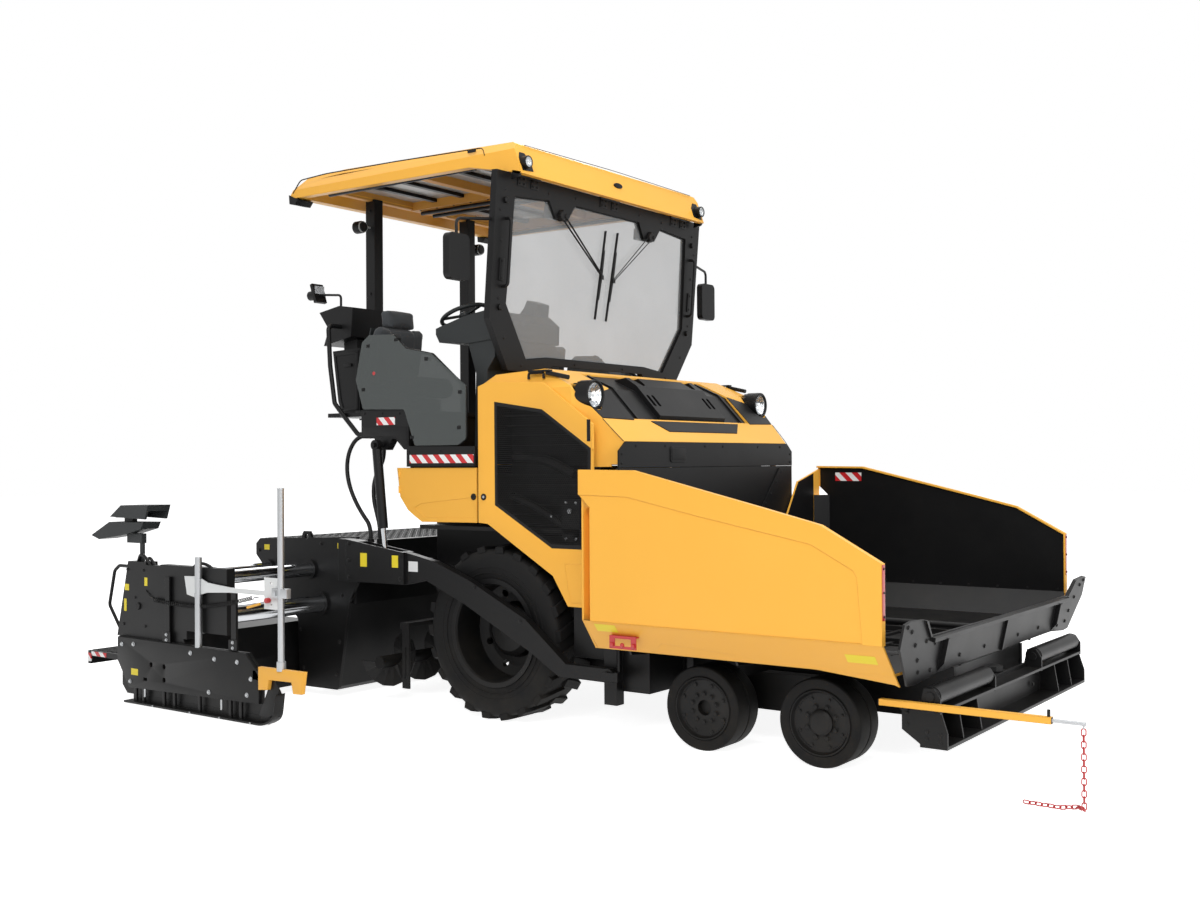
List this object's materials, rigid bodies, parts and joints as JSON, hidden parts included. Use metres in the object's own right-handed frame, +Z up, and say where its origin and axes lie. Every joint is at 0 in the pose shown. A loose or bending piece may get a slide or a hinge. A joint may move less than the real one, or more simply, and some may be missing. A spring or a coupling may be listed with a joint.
{
  "type": "wheeled asphalt paver",
  "caption": "Wheeled road paver: folding hopper with push rollers, slat conveyor, augers, canopied operator stand and a towed, extending screed.",
  "frame": {"origin": "on the ground, below the middle of the whole machine with its screed and guide bar", "axes": "+X forward to the hopper, +Y to the left, +Z up"},
  "size_m": [7.058, 4.4, 3.915],
  "materials": {
    "yellow": "satin",
    "black": "satin",
    "dark_steel": "rough",
    "tyre_rubber": "matt",
    "rubber": "matt",
    "chrome": "polished",
    "zinc": "satin",
    "glass": "clear",
    "smoke": "clear",
    "plastic": "grained",
    "seat_fabric": "matt",
    "red": "satin",
    "lamp": "clear"
  },
  "bodies": {
    "tractor": {"auger_carrier": "dark_steel", "bogie_beams": "dark_steel", "canopy_frame": "black", "canopy_roof": "yellow", "chassis": "black", "console": "plastic", "conveyor_floor": "dark_steel", "cowl": "black", "engine_block": "dark_steel", "hood_shell": "yellow", "lamps": "lamp", "mirrors": "plastic", "platform": "black", "screed_hose_inner_left": "rubber", "screed_hose_inner_right": "rubber", "screed_hose_outer_left": "rubber", "screed_hose_outer_right": "rubber", "seats": "seat_fabric", "side_shields": "smoke", "windscreen_frame": "black", "windscreen_glass": "glass"},
    "drive_wheel_right": {"drive_tyre_right": "tyre_rubber", "drive_rim_right": "dark_steel"},
    "drive_wheel_left": {"drive_tyre_left": "tyre_rubber", "drive_rim_left": "dark_steel"},
    "knuckle_front_right": {"knuckle_front_right": "dark_steel"},
    "front_wheel_front_right": {"front_wheel_front_right": "tyre_rubber"},
    "knuckle_front_left": {"knuckle_front_left": "dark_steel"},
    "front_wheel_front_left": {"front_wheel_front_left": "tyre_rubber"},
    "knuckle_rear_right": {"knuckle_rear_right": "dark_steel"},
    "front_wheel_rear_right": {"front_wheel_rear_right": "tyre_rubber"},
    "knuckle_rear_left": {"knuckle_rear_left": "dark_steel"},
    "front_wheel_rear_left": {"front_wheel_rear_left": "tyre_rubber"},
    "steering_wheel": {"steering_wheel": "plastic"},
    "hopper_wing_right": {"hopper_wing_right": "yellow"},
    "hopper_wing_left": {"hopper_wing_left": "yellow"},
    "hopper_apron": {"hopper_apron": "black"},
    "push_beam": {"push_beam": "black"},
    "push_roller_right": {"push_roller_right": "black"},
    "push_roller_left": {"push_roller_left": "black"},
    "guide_rod": {"guide_rod": "zinc", "guide_chain": "red"},
    "side_door_right": {"side_door_right": "yellow"},
    "rear_door_right": {"rear_door_right": "yellow"},
    "side_door_left": {"side_door_left": "yellow"},
    "rear_door_left": {"rear_door_left": "yellow"},
    "screed": {"screed_frame": "black", "tow_arms": "black"},
    "extension_right": {"screed_extension_right": "black", "end_gate_right": "black", "screed_console_right": "plastic"},
    "auger_right": {"auger_right": "dark_steel"},
    "lift_barrel_right": {"lift_barrel_right": "black"},
    "lift_rod_right": {"lift_rod_right": "chrome"},
    "extension_left": {"screed_extension_left": "black", "end_gate_left": "black", "screed_console_left": "plastic"},
    "auger_left": {"auger_left": "dark_steel"},
    "lift_barrel_left": {"lift_barrel_left": "black"},
    "lift_rod_left": {"lift_rod_left": "chrome"}
  },
  "joints": [
    {"name": "drive_wheel_right_spin", "type": "hinge", "parent": "tractor", "child": "drive_wheel_right", "pos_m": [-0.333, -1.01, 0.587], "axis": [0, 1, 0], "continuous": true},
    {"name": "drive_wheel_left_spin", "type": "hinge", "parent": "tractor", "child": "drive_wheel_left", "pos_m": [-0.333, 1.01, 0.587], "axis": [0, 1, 0], "continuous": true},
    {"name": "steer_front_right", "type": "hinge", "parent": "tractor", "child": "knuckle_front_right", "pos_m": [2.04, -0.9, 0.253], "axis": [0, 0, 1], "range_deg": [-18, 18]},
    {"name": "front_wheel_front_right_spin", "type": "hinge", "parent": "knuckle_front_right", "child": "front_wheel_front_right", "pos_m": [2.04, -1.037, 0.253], "axis": [0, 1, 0], "continuous": true},
    {"name": "steer_front_left", "type": "hinge", "parent": "tractor", "child": "knuckle_front_left", "pos_m": [2.04, 0.9, 0.253], "axis": [0, 0, 1], "range_deg": [-18, 18]},
    {"name": "front_wheel_front_left_spin", "type": "hinge", "parent": "knuckle_front_left", "child": "front_wheel_front_left", "pos_m": [2.04, 1.037, 0.253], "axis": [0, 1, 0], "continuous": true},
    {"name": "steer_rear_right", "type": "hinge", "parent": "tractor", "child": "knuckle_rear_right", "pos_m": [1.272, -0.9, 0.253], "axis": [0, 0, 1], "range_deg": [-18, 18]},
    {"name": "front_wheel_rear_right_spin", "type": "hinge", "parent": "knuckle_rear_right", "child": "front_wheel_rear_right", "pos_m": [1.272, -1.037, 0.253], "axis": [0, 1, 0], "continuous": true},
    {"name": "steer_rear_left", "type": "hinge", "parent": "tractor", "child": "knuckle_rear_left", "pos_m": [1.272, 0.9, 0.253], "axis": [0, 0, 1], "range_deg": [-18, 18]},
    {"name": "front_wheel_rear_left_spin", "type": "hinge", "parent": "knuckle_rear_left", "child": "front_wheel_rear_left", "pos_m": [1.272, 1.037, 0.253], "axis": [0, 1, 0], "continuous": true},
    {"name": "steering_wheel_turn", "type": "hinge", "parent": "tractor", "child": "steering_wheel", "pos_m": [-0.944, -0.76, 2.77], "axis": [-0.3859, 0, 0.9225], "continuous": true},
    {"name": "hopper_wing_right_fold", "type": "hinge", "parent": "tractor", "child": "hopper_wing_right", "pos_m": [1.647, -0.74, 0.6], "axis": [-1, 0, 0], "range_deg": [0, 55]},
    {"name": "hopper_wing_left_fold", "type": "hinge", "parent": "tractor", "child": "hopper_wing_left", "pos_m": [1.647, 0.74, 0.6], "axis": [1, 0, 0], "range_deg": [0, 55]},
    {"name": "hopper_apron_tilt", "type": "hinge", "parent": "tractor", "child": "hopper_apron", "pos_m": [2.639, 0, 0.58], "axis": [0, 1, 0], "range_deg": [-16, 0]},
    {"name": "push_beam_swing", "type": "hinge", "parent": "tractor", "child": "push_beam", "pos_m": [2.652, 0, 0.33], "axis": [0, 0, 1], "range_deg": [-3, 3]},
    {"name": "push_roller_right_spin", "type": "hinge", "parent": "push_beam", "child": "push_roller_right", "pos_m": [2.73, -0.843, 0.487], "axis": [0, 1, 0], "continuous": true},
    {"name": "push_roller_left_spin", "type": "hinge", "parent": "push_beam", "child": "push_roller_left", "pos_m": [2.73, 0.843, 0.487], "axis": [0, 1, 0], "continuous": true},
    {"name": "guide_rod_slide", "type": "slide", "parent": "push_beam", "child": "guide_rod", "axis": [1, 0, 0], "range_m": [-0.12, 0.3]},
    {"name": "side_door_right_open", "type": "hinge", "parent": "tractor", "child": "side_door_right", "pos_m": [0.513, -1.2, 1.5], "axis": [0, 0, 1], "range_deg": [0, 90]},
    {"name": "rear_door_right_open", "type": "hinge", "parent": "tractor", "child": "rear_door_right", "pos_m": [-1.179, -1.2, 1.5], "axis": [0, 0, -1], "range_deg": [0, 60]},
    {"name": "side_door_left_open", "type": "hinge", "parent": "tractor", "child": "side_door_left", "pos_m": [0.513, 1.2, 1.5], "axis": [0, 0, -1], "range_deg": [0, 90]},
    {"name": "rear_door_left_open", "type": "hinge", "parent": "tractor", "child": "rear_door_left", "pos_m": [-1.179, 1.2, 1.5], "axis": [0, 0, 1], "range_deg": [0, 60]},
    {"name": "screed_lift", "type": "hinge", "parent": "tractor", "child": "screed", "pos_m": [0.687, 0, 0.41], "axis": [0, 1, 0], "range_deg": [0, 6], "deforming": ["screed_hose_outer_right", "screed_hose_outer_left", "screed_hose_inner_right", "screed_hose_inner_left"]},
    {"name": "extension_right_slide", "type": "slide", "parent": "screed", "child": "extension_right", "axis": [0, -1, 0], "range_m": [-0.65, 0.3]},
    {"name": "auger_right_turn", "type": "hinge", "parent": "tractor", "child": "auger_right", "pos_m": [-1.383, -0.625, 0.3], "axis": [0, 1, 0], "continuous": true},
    {"name": "lift_barrel_right_swing", "type": "hinge", "parent": "tractor", "child": "lift_barrel_right", "pos_m": [-1.333, -1.27, 1.85], "axis": [0, 1, 0], "range_deg": [-6.8, 0]},
    {"name": "lift_rod_right_slide", "type": "slide", "parent": "lift_barrel_right", "child": "lift_rod_right", "axis": [-0.1081, 0, 0.9941], "range_m": [0, 0.186]},
    {"name": "extension_left_slide", "type": "slide", "parent": "screed", "child": "extension_left", "axis": [0, 1, 0], "range_m": [-0.65, 0.3]},
    {"name": "auger_left_turn", "type": "hinge", "parent": "tractor", "child": "auger_left", "pos_m": [-1.383, 0.625, 0.3], "axis": [0, 1, 0], "continuous": true},
    {"name": "lift_barrel_left_swing", "type": "hinge", "parent": "tractor", "child": "lift_barrel_left", "pos_m": [-1.333, 1.27, 1.85], "axis": [0, 1, 0], "range_deg": [-6.8, 0]},
    {"name": "lift_rod_left_slide", "type": "slide", "parent": "lift_barrel_left", "child": "lift_rod_left", "axis": [-0.1081, 0, 0.9941], "range_m": [0, 0.186]}
  ],
  "couplings": [
    {"joint": "steer_front_left", "follows": "steer_front_right", "ratio": 1},
    {"joint": "steer_rear_right", "follows": "steer_front_right", "ratio": 1},
    {"joint": "steer_rear_left", "follows": "steer_front_right", "ratio": 1},
    {"joint": "lift_barrel_right_swing", "follows": "screed_lift", "ratio": -1.1095},
    {"joint": "lift_rod_right_slide", "follows": "screed_lift", "m_per_rad": 1.7636},
    {"joint": "lift_barrel_left_swing", "follows": "screed_lift", "ratio": -1.1095},
    {"joint": "lift_rod_left_slide", "follows": "screed_lift", "m_per_rad": 1.7636}
  ]
}
